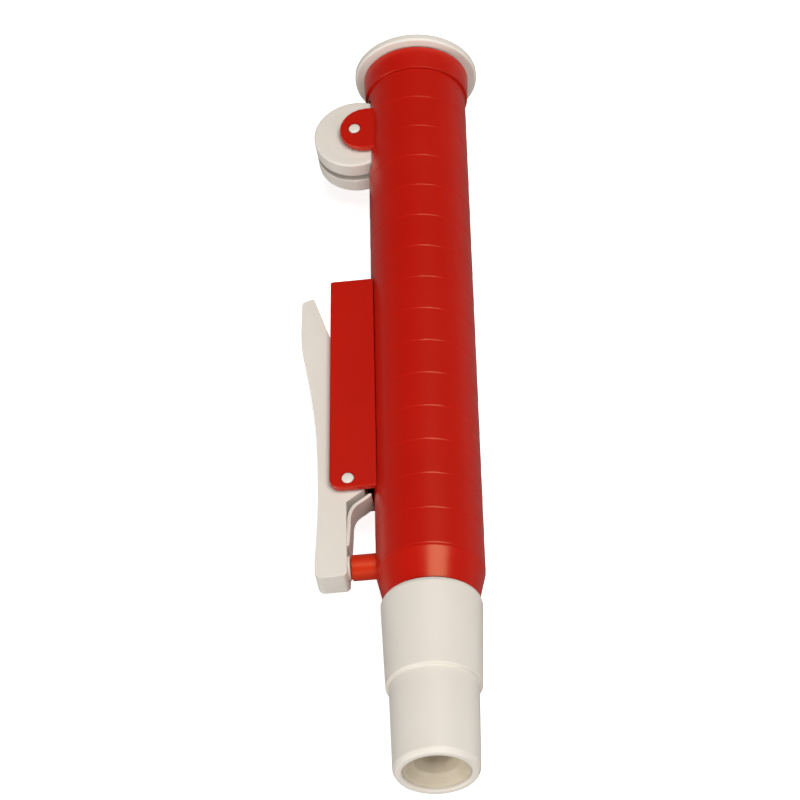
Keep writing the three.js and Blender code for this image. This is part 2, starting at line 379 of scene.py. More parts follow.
def combine(piece: Piece, other: Piece, how: Join) -> None:
    """Welds another solid to a piece or cuts it away, and removes the other.

    Args:
        piece: The piece that stays.
        other: The solid that is used up.
        how: Whether to weld or to cut.
    """
    pick(piece)
    modifier = piece.modifiers.new(how.name.lower(), "BOOLEAN")
    modifier.operation = how.value
    modifier.solver = "EXACT"
    modifier.object = other
    bpy.ops.object.modifier_apply(modifier=modifier.name)
    bpy.data.objects.remove(other)


def drill(piece: Piece, radius: float, x: float, y: float) -> None:
    """Drills a hole along Z right through a piece.

    Args:
        piece: The piece.
        radius: The hole's radius.
        x: The hole's X.
        y: The hole's Y.
    """
    section = disc_section(radius, -THROUGH, THROUGH, 0)
    combine(piece, along_z("hole", section, x, y), Join.CUT)


def soften(piece: Piece, width: float, segments: int = 3, angle: float = 32) -> None:
    """Rounds every sharp edge of a piece.

    Args:
        piece: The piece.
        width: How far the rounding reaches.
        segments: How many facets make it.
        angle: Edges sharper than this, in degrees, are rounded.
    """
    pick(piece)
    modifier = piece.modifiers.new("soften", "BEVEL")
    modifier.width = width
    modifier.segments = segments
    modifier.limit_method = "ANGLE"
    modifier.angle_limit = math.radians(angle)
    modifier.use_clamp_overlap = True
    bpy.ops.object.modifier_apply(modifier=modifier.name)


def even_shading(piece: Piece) -> None:
    """Shades a piece smooth up to its sharp edges, and keeps its flat faces flat."""
    pick(piece)
    bpy.ops.object.shade_smooth_by_angle(angle=SHARP)
    modifier = piece.modifiers.new("even", "WEIGHTED_NORMAL")
    modifier.keep_sharp = True
    modifier.weight = 60
    bpy.ops.object.modifier_apply(modifier=modifier.name)


# --- Finishes -------------------------------------------------------------------------------------------


@dataclass(frozen=True)
class Plastic:
    """A moulded finish and how handling has changed it.

    Args:
        name: The material's name.
        slot: The record's slot that it belongs to; not used.
        colour: The base colour, linear.
        deep: The colour of its darker patches, linear.
        edge: The colour painted along its edges, linear: painted shade where darker than colour,
            painted highlight where lighter.
        painted_edge_share: How much of that painted colour shows there.
        patches: Colour patches to the metre.
        drift: How far the colour drifts between patches, from 0 to 1.
        roughness: Its roughness where it is clean.
        handled: Its roughness where it is scuffed.
        grain: Grains to the metre.
        relief: The grain's depth, in metres.
        glow: How much light scatters inside it, from 0 to 1.
        depth: How far that light travels, in metres.
        sheen_tint: The colour of its reflections.
    """

    name: str
    slot: str
    colour: Colour
    deep: Colour
    edge: Colour
    painted_edge_share: float
    patches: float
    drift: float
    roughness: float
    handled: float
    grain: float
    relief: float
    glow: float = 0.0
    depth: float = 0.0005
    sheen_tint: Colour = (1.0, 1.0, 1.0)


# Each finish's edge colour is painted along its edges: painted shade on the reds and the white, painted
# highlight on the liner, the seal rubber and the silicone.
MOULDED_RED = Plastic(
    name="moulded_red", slot="barrel_red",
    colour=(0.47, 0.0090, 0.0042), deep=(0.40, 0.0050, 0.0033), edge=(0.22, 0.002, 0.003), painted_edge_share=0.85,
    patches=38, drift=0.3, roughness=0.28, handled=0.33, grain=2600, relief=0.0000025,
    sheen_tint=(1.0, 0.76, 0.42),
)
VENT_RED = Plastic(
    name="vent_red", slot="vent_red",
    colour=(0.56, 0.026, 0.006), deep=(0.46, 0.012, 0.004), edge=(0.36, 0.008, 0.004), painted_edge_share=0.4,
    patches=120, drift=0.5, roughness=0.3, handled=0.34, grain=2600, relief=0.0000025,
    sheen_tint=(1.0, 0.76, 0.42),
)
WARM_WHITE = Plastic(
    name="warm_white", slot="white_plastic",
    colour=(0.72, 0.68, 0.625), deep=(0.68, 0.635, 0.575), edge=(0.62, 0.575, 0.50), painted_edge_share=0.35,
    patches=45, drift=0.55, roughness=0.42, handled=0.52, grain=1900, relief=0.000006,
    glow=0.12, depth=0.0006,
)
LINER = Plastic(
    name="soft_liner", slot="soft_liner",
    colour=(0.57, 0.50, 0.39), deep=(0.48, 0.42, 0.31), edge=(0.62, 0.56, 0.45), painted_edge_share=0.4,
    patches=160, drift=0.6, roughness=0.5, handled=0.6, grain=1500, relief=0.000008, glow=0.25, depth=0.001,
)
SEAL_RUBBER = Plastic(
    name="seal_rubber", slot="seal_rubber",
    colour=(0.022, 0.022, 0.023), deep=(0.014, 0.014, 0.015), edge=(0.05, 0.05, 0.05), painted_edge_share=0.5,
    patches=200, drift=0.6, roughness=0.62, handled=0.75, grain=3200, relief=0.00001,
)
SILICONE = Plastic(
    name="clear_silicone", slot="silicone",
    colour=(0.74, 0.62, 0.56), deep=(0.66, 0.50, 0.44), edge=(0.80, 0.72, 0.68), painted_edge_share=0.4,
    patches=200, drift=0.5, roughness=0.4, handled=0.5, grain=1500, relief=0.000006, glow=0.5, depth=0.0015,
)


def between(
    tree: Tree, value: Socket, edges: Sequence[float], ends: Sequence[float] = (0.0, 1.0)
) -> Socket:
    """A smooth change from one number to another.

    Args:
        tree: The tree that it goes into.
        value: The socket that drives it.
        edges: The values where the change begins and ends.
        ends: The numbers before and after it.

    Returns:
        The socket with the result.
    """
    change = tree.nodes.new("ShaderNodeMapRange")
    change.interpolation_type = "SMOOTHSTEP"
    for label, number in zip(("From Min", "From Max", "To Min", "To Max"), (*edges, *ends)):
        change.inputs[label].default_value = number
    tree.links.new(value, change.inputs["Value"])
    return change.outputs["Result"]


def reckon(tree: Tree, operation: str, first: Socket | float, second: Socket | float) -> Socket:
    """One arithmetic step on sockets or numbers.

    Args:
        tree: The tree that it goes into.
        operation: The Math node's operation.
        first: A socket or a number.
        second: A socket or a number.

    Returns:
        The socket with the result.
    """
    step = tree.nodes.new("ShaderNodeMath")
    step.operation = operation
    for place, value in enumerate((first, second)):
        if isinstance(value, Socket):
            tree.links.new(value, step.inputs[place])
        else:
            step.inputs[place].default_value = value
    return step.outputs["Value"]


class PaintShop:
    """Builds the shared node groups once, and a material from each finish."""

    edge_reach: float = 0.0004  # how far an edge is felt, in metres
    breaks: float = 420.0  # breaks in an edge's line, to the metre
    marks: float = 70.0  # finger marks, to the metre
    rubs: float = 3800.0  # rubbed lines, to the metre
    ripples: float = 260.0  # slow waves in the skin, to the metre
    edge_samples: int = 6
    drift_band: tuple[float, float] = (0.32, 0.72)
    edge_band: tuple[float, float] = (0.01, 0.16)
    break_band: tuple[float, float] = (0.25, 0.6)
    mark_band: tuple[float, float] = (0.3, 0.75)
    rub_band: tuple[float, float] = (0.62, 0.75)
    rub_stretch: Colour = (1, 0.06, 1)
    mark_share: float = 0.6
    rub_share: float = 0.4
    ripple_share: float = 0.8
    glow_reach: Colour = (1.0, 0.8, 0.6)

    def __init__(self) -> None:
        """Makes the groups that every material uses."""
        self.drift = self._drift_group()
        # The mask for the painted shade and highlight along edges.
        self.edges = self._painted_edge_group()
        self.handling = self._handling_group()
        self.grain = self._grain_group()
        self.made: dict[str, bpy.types.Material] = {}

    @staticmethod
    def _group(name: str, inputs: dict[str, str], outputs: dict[str, str]) -> Tree:
        """A new node group with its input and output nodes.

        Args:
            name: The group's name.
            inputs: The kind of each input, by name.
            outputs: The kind of each output, by name.

        Returns:
            The group's tree.
        """
        tree = bpy.data.node_groups.new(name, "ShaderNodeTree")
        for label, kind in inputs.items():
            tree.interface.new_socket(name=label, in_out="INPUT", socket_type=kind)
        for label, kind in outputs.items():
            tree.interface.new_socket(name=label, in_out="OUTPUT", socket_type=kind)
        tree.nodes.new("NodeGroupInput")
        tree.nodes.new("NodeGroupOutput")
        return tree

    @staticmethod
    def _noise(tree: Tree, detail: float, scale: float = 5.0, stretch: Colour = (1, 1, 1)) -> Node:
        """A noise texture on the piece's own coordinates.

        Args:
            tree: The tree that it goes into.
            detail: How many finer layers it has.
            scale: Its patches to the metre, unless a socket sets them.
            stretch: How the coordinates are scaled first.

        Returns:
            The noise node.
        """
        coordinates = tree.nodes.new("ShaderNodeTexCoord")
        mapping = tree.nodes.new("ShaderNodeMapping")
        mapping.inputs["Scale"].default_value = stretch
        noise = tree.nodes.new("ShaderNodeTexNoise")
        noise.inputs["Detail"].default_value = detail
        noise.inputs["Scale"].default_value = scale
        tree.links.new(coordinates.outputs["Object"], mapping.inputs["Vector"])
        tree.links.new(mapping.outputs["Vector"], noise.inputs["Vector"])
        return noise

    @staticmethod
    def _mix(tree: Tree, share: Socket, first: Socket | Colour, second: Socket | Colour) -> Socket:
        """A mix of two colours.

        Args:
            tree: The tree that it goes into.
            share: The socket that says how much of the second colour shows.
            first: The first colour, as a socket or three numbers.
            second: The second colour, as a socket or three numbers.

        Returns:
            The mixed colour's socket.
        """
        mix = tree.nodes.new("ShaderNodeMix")
        mix.data_type = "RGBA"
        tree.links.new(share, mix.inputs["Factor"])
        for socket, value in ((mix.inputs[6], first), (mix.inputs[7], second)):
            if isinstance(value, Socket):
                tree.links.new(value, socket)
            else:
                socket.default_value = (*value, 1)
        return mix.outputs[2]

    def _drift_group(self) -> Tree:
        """The group that lets a colour drift in soft patches, as pigment does in a moulding."""
        inputs = {
            "Colour": "NodeSocketColor", "Deep": "NodeSocketColor",
            "Patches": "NodeSocketFloat", "Drift": "NodeSocketFloat",
        }
        tree = self._group("colour_drift", inputs, {"Colour": "NodeSocketColor"})
        given, out = tree.nodes["Group Input"], tree.nodes["Group Output"]
        noise = self._noise(tree, detail=3)
        tree.links.new(given.outputs["Patches"], noise.inputs["Scale"])
        share = between(tree, noise.outputs["Fac"], self.drift_band)
        share = reckon(tree, "MULTIPLY", share, given.outputs["Drift"])
        mixed = self._mix(tree, share, given.outputs["Colour"], given.outputs["Deep"])
        tree.links.new(mixed, out.inputs["Colour"])
        return tree

    def _painted_edge_group(self) -> Tree:
        """The group that finds a piece's edges for painted shade and highlight, broken up in places."""
        tree = self._group("painted_edge_shading", {"Radius": "NodeSocketFloat"}, {"Mask": "NodeSocketFloat"})
        given, out = tree.nodes["Group Input"], tree.nodes["Group Output"]
        rounded = tree.nodes.new("ShaderNodeBevel")
        rounded.samples = self.edge_samples
        tree.links.new(given.outputs["Radius"], rounded.inputs["Radius"])
        geometry = tree.nodes.new("ShaderNodeNewGeometry")
        likeness = tree.nodes.new("ShaderNodeVectorMath")
        likeness.operation = "DOT_PRODUCT"
        tree.links.new(rounded.outputs["Normal"], likeness.inputs[0])
        tree.links.new(geometry.outputs["Normal"], likeness.inputs[1])
        bent = reckon(tree, "SUBTRACT", 1.0, likeness.outputs["Value"])
        mask = between(tree, bent, self.edge_band)
        noise = self._noise(tree, detail=4, scale=self.breaks)
        broken = between(tree, noise.outputs["Fac"], self.break_band)
        tree.links.new(reckon(tree, "MULTIPLY", mask, broken), out.inputs["Mask"])
        return tree

    def _handling_group(self) -> Tree:
        """The group that gives roughness: clean plastic, finger marks and fine rubbed lines along Y."""
        inputs = {"Clean": "NodeSocketFloat", "Handled": "NodeSocketFloat"}
        tree = self._group("handling", inputs, {"Roughness": "NodeSocketFloat"})
        given, out = tree.nodes["Group Input"], tree.nodes["Group Output"]
        marks = self._noise(tree, detail=2, scale=self.marks)
        smudge = between(tree, marks.outputs["Fac"], self.mark_band)
        rubbed = self._noise(tree, detail=2, scale=self.rubs, stretch=self.rub_stretch)
        lines = between(tree, rubbed.outputs["Fac"], self.rub_band)
        marks_share = reckon(tree, "MULTIPLY", smudge, self.mark_share)
        share = reckon(tree, "ADD", marks_share, reckon(tree, "MULTIPLY", lines, self.rub_share))
        spread = reckon(tree, "SUBTRACT", given.outputs["Handled"], given.outputs["Clean"])
        rough = reckon(tree, "ADD", given.outputs["Clean"], reckon(tree, "MULTIPLY", share, spread))
        tree.links.new(rough, out.inputs["Roughness"])
        return tree

    def _grain_group(self) -> Tree:
        """The group that gives the height of a moulded skin: fine grain over a slow ripple."""
        tree = self._group("moulded_grain", {"Grain": "NodeSocketFloat"}, {"Height": "NodeSocketFloat"})
        given, out = tree.nodes["Group Input"], tree.nodes["Group Output"]
        fine = self._noise(tree, detail=3)
        tree.links.new(given.outputs["Grain"], fine.inputs["Scale"])
        ripple = self._noise(tree, detail=1, scale=self.ripples)
        slow = reckon(tree, "MULTIPLY", ripple.outputs["Fac"], self.ripple_share)
        tree.links.new(reckon(tree, "ADD", fine.outputs["Fac"], slow), out.inputs["Height"])
        return tree

    @staticmethod
    def _place(tree: Tree, group: Tree, **values: float | Colour) -> Node:
        """A group placed in a material with its own values.

        Args:
            tree: The material's tree.
            group: The group.
            **values: What each input is set to, by name.

        Returns:
            The group's node.
        """
        placed = tree.nodes.new("ShaderNodeGroup")
        placed.node_tree = group
        for label, value in values.items():
            placed.inputs[label].default_value = (*value, 1) if isinstance(value, tuple) else value
        return placed

    def material(self, finish: Plastic) -> bpy.types.Material:
        """The material of a finish, made the first time that it is asked for.

        Args:
            finish: The finish.

        Returns:
            Its material.
        """
        if finish.name in self.made:
            return self.made[finish.name]
        material = bpy.data.materials.new(finish.name)
        material.use_nodes = True
        tree = material.node_tree
        shader = tree.nodes["Principled BSDF"]
        patches = {"Patches": finish.patches, "Drift": finish.drift}
        drift = self._place(tree, self.drift, Colour=finish.colour, Deep=finish.deep, **patches)
        # Painted shade and highlight along edges: the edge colour mixed over the edge mask.
        edges = self._place(tree, self.edges, Radius=self.edge_reach)
        share = reckon(tree, "MULTIPLY", edges.outputs["Mask"], finish.painted_edge_share)
        colour = self._mix(tree, share, drift.outputs["Colour"], finish.edge)
        handling = self._place(tree, self.handling, Clean=finish.roughness, Handled=finish.handled)
        grain = self._place(tree, self.grain, Grain=finish.grain)
        bump = tree.nodes.new("ShaderNodeBump")
        bump.inputs["Distance"].default_value = finish.relief
        tree.links.new(colour, shader.inputs["Base Color"])
        tree.links.new(handling.outputs["Roughness"], shader.inputs["Roughness"])
        tree.links.new(grain.outputs["Height"], bump.inputs["Height"])
        tree.links.new(bump.outputs["Normal"], shader.inputs["Normal"])
        shader.inputs["Specular Tint"].default_value = (*finish.sheen_tint, 1)
        if finish.glow:
            shader.inputs["Subsurface Weight"].default_value = finish.glow
            shader.inputs["Subsurface Radius"].default_value = self.glow_reach
            shader.inputs["Subsurface Scale"].default_value = finish.depth
        self.made[finish.name] = material
        return material


# --- From the bench to the frame ------------------------------------------------------------------------


class Fitter:
    """Takes finished pieces from the bench to their places in the frame."""

    def __init__(self) -> None:
        """Finds the mouth's centre in the frame, which is the bench's origin."""
        low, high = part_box("nose")
        self.datum = Vector(((low.x + high.x) / 2, low.y, (low.z + high.z) / 2))
        self.paint = PaintShop()

    def place(self, x: float, y: float, z: float) -> Vector:
        """A bench point in the frame, in metres."""
        return self.datum + MM * Vector((x, y, z))

    def settle(self, piece: Piece, finish: Plastic) -> None:
        """Moves a piece to its place in the frame, with its place in its mesh, and paints it.

        Args:
            piece: The piece, in millimetres about the mouth.
            finish: Its finish.
        """
        even_shading(piece)
        piece.scale = (MM, MM, MM)
        piece.location = self.datum
        bpy.ops.object.transform_apply(location=True, rotation=True, scale=True)
        piece.data.materials.clear()
        piece.data.materials.append(self.paint.material(finish))

    def fit(self, piece: Piece, finish: Plastic, body: Body, node: str) -> None:
        """Settles a piece, has it ride on a body, and lets it stand for a CAD node.

        Args:
            piece: The piece, in millimetres about the mouth.
            finish: Its finish.
            body: The body that it moves with.
            node: The CAD node that it stands for.
        """
        self.settle(piece, finish)
        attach(piece, body.value)
        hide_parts(node)
        log.info("%s stands for %s on %s, %d faces", piece.name, node, body.value, len(piece.data.polygons))


# --- The barrel and what is fixed to it -----------------------------------------------------------------


@dataclass
class Barrel:
    """The red barrel with its grip rings, wheel ears and vent, and the collar and seal pressed into it."""

    radius: float = 12.6
    draft: float = 0.2  # how much smaller the top is than the bottom
    bore: float = 11.0
    bottom: float = 44.5
    chamfer_radius: float = 10.9
    chamfer_top: float = 51.9
    top: float = 195.72
    rings: int = 15
    first_ring: float = 52.55
    ring_pitch: float = 9.55
    ring_step: float = 0.05
    ring_slope: float = 0.26
    floor: float = 52.5
    spigot: float = 8.4
    spigot_end: float = 30.0
    passage: float = 2.0
    groove_radius: float = 7.4
    groove: tuple[float, float] = (38.0, 41.0)
    ear_x: float = -12.4
    ear_y: float = 182.35
    ear_radius: float = 6.5
    ear_root: float = -9.7  # inside the barrel's wall
    ear_inner: float = 5.4
    ear_outer: float = 7.0
    slot: tuple[float, float] = (171.5, 193.2)
    pin_hole: float = 1.58
    vent_y: float = 55.5
    vent_radius: float = 3.05
    vent_end: float = -18.1
    vent_bore: float = 1.2
    collar_foot: float = 12.95
    collar_radius: float = 13.3
    collar_bottom: float = 195.8
    collar_top: float = 202.3
    collar_guide: float = 9.5

    def radius_at(self, y: float) -> float:
        """The barrel's radius over its rings at one height."""
        return self.radius - self.draft * (y - self.bottom) / (self.top - self.bottom)

    def _ringed_wall(self) -> list[Corner]:
        """The outer wall's corners, where each grip ring is a small step that faces the nose."""
        corners: list[Corner] = []
        for ring in range(self.rings):
            y = self.first_ring + ring * self.ring_pitch
            outer = self.radius_at(y)
            corners.append(Corner(outer - self.ring_step, y, 0.05))
            corners.append(Corner(outer, y + self.ring_slope, 0.05))
        return corners

    def _shell(self) -> Piece:
        """The turned part of the barrel: ringed tube, floor and spigot."""
        low_groove, high_groove = self.groove
        section = [
            Corner(self.passage, self.spigot_end, 0.3),
            Corner(self.spigot, self.spigot_end, 0.4),
            Corner(self.spigot, low_groove, 0.1),
            Corner(self.groove_radius, low_groove, 0.2),
            Corner(self.groove_radius, high_groove, 0.2),
            Corner(self.spigot, high_groove, 0.1),
            Corner(self.spigot, self.bottom),
            Corner(self.chamfer_radius, self.bottom, 0.15),
            Corner(self.radius - self.ring_step, self.chamfer_top, 1.2),
            *self._ringed_wall(),
            Corner(self.radius_at(self.top) - self.ring_step, self.top, 0.15),
            Corner(self.bore, self.top, 0.2),
            Corner(self.bore, self.floor, 0.5),
            Corner(self.passage, self.floor, 0.3),
        ]
        return turned("barrel_shell", outline(section))

    def _ear(self, side: int) -> Piece:
        """One ear beside the wheel, on the +Z or -Z side.

        Args:
            side: 1 or -1.

        Returns:
            The ear, with softened edges.
        """
        top, bottom = self.ear_y + self.ear_radius, self.ear_y - self.ear_radius
        tip = self.ear_x - self.ear_radius
        shape = [
            Corner(self.ear_root, top),
            Corner(tip, top, self.ear_radius),
            Corner(tip, bottom, self.ear_radius),
            Corner(self.ear_root, bottom),
        ]
        low, high = sorted((side * self.ear_inner, side * self.ear_outer))
        ear = slab("ear", outline(shape), low, high)
        soften(ear, 0.35)
        return ear

    def shell(self) -> Piece:
        """The whole barrel moulding, with its ears, slot and holes."""
        shell = self._shell()
        for side in (1, -1):
            combine(shell, self._ear(side), Join.WELD)
        low, high = self.slot
        outside, inside = -2 * self.radius, -self.bore / 2
        gap = [Corner(outside, low), Corner(inside, low, 1), Corner(inside, high, 1), Corner(outside, high)]
        inner = self.ear_inner - 0.02
        combine(shell, slab("slot", outline(gap), -inner, inner), Join.CUT)
        drill(shell, self.pin_hole, WheelSet.x, WheelSet.y)
        combine(shell, along_x("hole", self.vent_bore, outside, inside, self.vent_y), Join.CUT)
        return shell

    def collar(self) -> Piece:
        """The collar over the barrel's top, which guides the plunger."""
        section = [
            Corner(self.collar_guide, 193.6, 0.3),
            Corner(10.7, 193.6, 0.2),
            Corner(10.7, self.collar_bottom),
            Corner(self.collar_foot, self.collar_bottom, 0.12),
            Corner(self.collar_radius, self.collar_top, 0.3),
            Corner(self.collar_guide, self.collar_top, 0.3),
        ]
        return turned("guide_collar", outline(section))

    def vent(self) -> Piece:
        """The vent's short tube, from the barrel wall to the lever's pad."""
        tube = along_x("vent_tube", self.vent_radius, self.vent_end, -self.bore - 0.8, self.vent_y, 0.3)
        combine(tube, along_x("hole", self.vent_bore, 2 * self.vent_end, 0, self.vent_y), Join.CUT)
        return tube

    def spigot_seal(self) -> Piece:
        """The seal ring in the spigot's groove."""
        return seal_ring("spigot_seal", (self.groove_radius, 8.6), sum(self.groove) / 2, 1.1)

    def build(self, fitter: Fitter) -> None:
        """Builds, dresses and fits the barrel's pieces.

        Args:
            fitter: What takes them to the frame.
        """
        fitter.fit(self.shell(), MOULDED_RED, Body.BARREL, "barrel")
        fitter.fit(self.collar(), MOULDED_RED, Body.BARREL, "end_cap")
        fitter.fit(self.vent(), VENT_RED, Body.BARREL, "vent_nozzle")
        fitter.fit(self.spigot_seal(), SEAL_RUBBER, Body.BARREL, "nose_seal")


def seal_ring(name: str, radii: tuple[float, float], y: float, half: float) -> Piece:
    """A rubber ring of rounded section.

    Args:
        name: The new piece's name.
        radii: Its inner and outer radius.
        y: Its middle's height.
        half: Half of its height.

    Returns:
        The new piece.
    """
    inner, outer = radii
    reach = (outer - inner) / 2
    section = [
        Corner(inner, y - half, 0.2),
        Corner(outer, y - half, reach),
        Corner(outer, y + half, reach),
        Corner(inner, y + half, 0.2),
    ]
    return turned(name, outline(section))


@dataclass
class LeverHousing:
    """The saddle on the barrel's side: two cheeks that hold the lever's pin, and a web behind the lever."""

    bottom: float = 74.4
    top: float = 135.3
    edge_bottom: float = -22.6
    edge_top: float = -21.8
    corner: float = 3.0
    inner: float = 3.9
    outer: float = 5.5
    clearance: float = 12.66
    web_bottom: float = 98.0
    web_thickness: float = 1.0
    root: float = -10.5  # inside the barrel's wall
    pin_radius: float = 1.42

    def _cheek(self, side: int) -> Piece:
        """One cheek, on the +Z or -Z side.

        Args:
            side: 1 or -1.

        Returns:
            The cheek, with softened edges.
        """
        shape = [
            Corner(self.root, self.top),
            Corner(self.edge_top, self.top, 0.5),
            Corner(self.edge_bottom, self.bottom, self.corner),
            Corner(self.root, self.bottom),
        ]
        low, high = sorted((side * self.inner, side * self.outer))
        cheek = slab("cheek", outline(shape), low, high)
        soften(cheek, 0.32)
        return cheek

    def saddle(self) -> Piece:
        """The cheeks and web in one, shaped to the barrel."""
        saddle = self._cheek(1)
        saddle.name = "lever_saddle"
        combine(saddle, self._cheek(-1), Join.WELD)
        back = -self.clearance - self.web_thickness
        web = [
            Corner(self.root, self.web_bottom),
            Corner(back, self.web_bottom, 0.3),
            Corner(back, self.top),
            Corner(self.root, self.top),
        ]
        reach = self.inner + 0.4
        combine(saddle, slab("web", outline(web), -reach, reach), Join.WELD)
        barrel_space = disc_section(self.clearance, self.bottom - 2, self.top + 2, 0)
        combine(saddle, turned("space", barrel_space), Join.CUT)
        drill(saddle, self.pin_radius + RUNNING, ReleaseLever.pivot_x, ReleaseLever.pivot_y)
        return saddle

    def pin(self) -> Piece:
        """The lever's pin, with slightly domed ends."""
        reach = self.outer + 0.15
        section = disc_section(self.pin_radius, -reach, reach, 0.3, dome=0.18)
        return along_z("lever_axle", section, ReleaseLever.pivot_x, ReleaseLever.pivot_y)

    def build(self, fitter: Fitter) -> None:
        """Builds, dresses and fits the saddle and the lever's pin.

        Args:
            fitter: What takes them to the frame.
        """
        fitter.fit(self.saddle(), MOULDED_RED, Body.BARREL, "lever_housing")
        fitter.fit(self.pin(), WARM_WHITE, Body.BARREL, "lever_pin")


@dataclass
class Nose:
    """The white sleeve that takes the pipette's top, and its soft liner."""

    mouth: float = 7.75
    socket: float = 8.7
    shelf: float = 29.7
    top: float = 44.2

    def sleeve(self) -> Piece:
        """The stepped, tapered sleeve."""
        section = [
            Corner(self.mouth, 0, 0.5),
            Corner(9.2, 0, 0.6),
            Corner(9.82, 1.2, 1.2),
            Corner(10.2, 21.75, 0.2),
            Corner(10.95, 22.1, 0.4),
            Corner(11.68, 43.2, 0.6),
            Corner(11.35, self.top, 0.5),
            Corner(self.socket, self.top, 0.3),
            Corner(self.socket, self.shelf, 0.2),
            Corner(self.mouth, self.shelf, 0.2),
        ]
        return turned("nose_sleeve", outline(section))

    def liner(self) -> Piece:
        """The liner, whose soft lip leads down to the throat."""
        section = [
            Corner(7.45, 29.4, 0.2),
            Corner(7.72, 28, 0.2),
            Corner(7.72, 0.75, 0.1),
            Corner(7.0, 0.95, 0.6),
            Corner(5.9, 2.4, 0.8),
            Corner(5.1, 3.0, 0.6),
            Corner(4.3, 5.2, 0.8),
            Corner(3.9, 8, 1.0),
            Corner(3.9, 20, 0.5),
            Corner(2.2, 22.5, 0.3),
            Corner(2.2, 29.4, 0.2),
        ]
        return turned("grip_liner", outline(section))

    def build(self, fitter: Fitter) -> None:
        """Builds, dresses and fits the sleeve and its liner.

        Args:
            fitter: What takes them to the frame.
        """
        fitter.fit(self.sleeve(), WARM_WHITE, Body.BARREL, "nose")
        fitter.fit(self.liner(), LINER, Body.BARREL, "pipette_grip")


# --- The wheel and its rack -----------------------------------------------------------------------------


@dataclass
class WheelSet:
    """The thumb wheel: two discs on a pinion's hub, turning on a pin between the ears."""

    x: float = -15.2
    y: float = 182.35
    radius: float = 10.5
    inner: float = 0.95
    outer: float = 5.05
    hub: float = 3.2
    pin_radius: float = 1.42
    pin_reach: float = 7.15
    module: float = 1.0
    teeth: int = 14
    pressure: float = math.radians(20)
    tooth_half: float = 0.7
    slack: float = 0.1

    @property
    def pitch_radius(self) -> float:
        """The pinion's pitch radius."""
        return self.module * self.teeth / 2

    def _tooth_flank(self) -> list[tuple[float, float]]:
        """Radius and half angle up one flank of a tooth, on its involute."""
        base = self.pitch_radius * math.cos(self.pressure)
        root = self.pitch_radius - 1.1 * self.module
        tip = self.pitch_radius + 0.9 * self.module

        def involute(radius: float) -> float:
            """The involute angle at a radius outside the base circle."""
            lean = math.acos(base / max(radius, base))
            return math.tan(lean) - lean

        at_pitch = math.pi / (2 * self.teeth) - self.slack / self.pitch_radius + involute(self.pitch_radius)
        steps = 6
        radii = [root, *[base + (tip - base) * step / steps for step in range(steps + 1)]]
        return [(radius, at_pitch - involute(radius)) for radius in radii]

    def pinion(self) -> Piece:
        """The pinion with its hub and the pin's hole."""
        flank = self._tooth_flank()
        points: list[Vector] = []
        for tooth in range(self.teeth):
            middle = tooth * FULL_TURN / self.teeth
            rise = [(radius, middle - half) for radius, half in flank]
            fall = [(radius, middle + half) for radius, half in reversed(flank)]
            points.extend(Vector((r * math.cos(a), r * math.sin(a))) for r, a in rise + fall)
        pinion = slab("rack_pinion", [*points, points[0]], -self.tooth_half, self.tooth_half)
        soften(pinion, 0.08, 2, 50)
        swing(pinion, ("Z", 0), (self.x, self.y, 0))
        hub = disc_section(self.hub, -self.outer + 0.1, self.outer - 0.1, 0.25)
        combine(pinion, along_z("hub", hub, self.x, self.y), Join.WELD)
        drill(pinion, self.pin_radius + RUNNING, self.x, self.y)
        return pinion

    def disc(self, side: int) -> Piece:
        """One of the wheel's discs: a rounded rim round a face that sits a little lower.

        Args:
            side: 1 for the +Z side, or -1.

        Returns:
            The disc.
        """
        bore = self.hub + RUNNING
        rim, web = self.outer, self.outer - 0.05
        section = [
            Corner(bore, self.inner, 0.1),
            Corner(self.radius, self.inner, 0.25),
            Corner(self.radius, rim, 0.55),
            Corner(self.radius - 1.6, rim, 0.8),
            Corner(self.radius - 2.4, web, 0.8),
            Corner(bore, web, 0.15),
        ]
        # The turned section's height becomes -Z, so the front disc is drawn below.
        section = [Corner(c.across, -side * c.along, c.radius) for c in section]
        name = "wheel_disc_front" if side > 0 else "wheel_disc_rear"
        return along_z(name, outline(section), self.x, self.y, ROUND_SIDES)

    def axle(self) -> Piece:
        """The wheel's pin, with slightly domed ends."""
        section = disc_section(self.pin_radius, -self.pin_reach, self.pin_reach, 0.3, dome=0.18)
        return along_z("wheel_axle", section, self.x, self.y)

    def build(self, fitter: Fitter) -> None:
        """Builds, dresses and fits the wheel's pieces.

        Args:
            fitter: What takes them to the frame.
        """
        fitter.fit(self.pinion(), WARM_WHITE, Body.WHEEL, "drive_pinion")
        fitter.fit(self.disc(1), WARM_WHITE, Body.WHEEL, "wheel_front_disc")
        fitter.fit(self.disc(-1), WARM_WHITE, Body.WHEEL, "wheel_rear_disc")
        fitter.fit(self.axle(), WARM_WHITE, Body.BARREL, "wheel_pin")


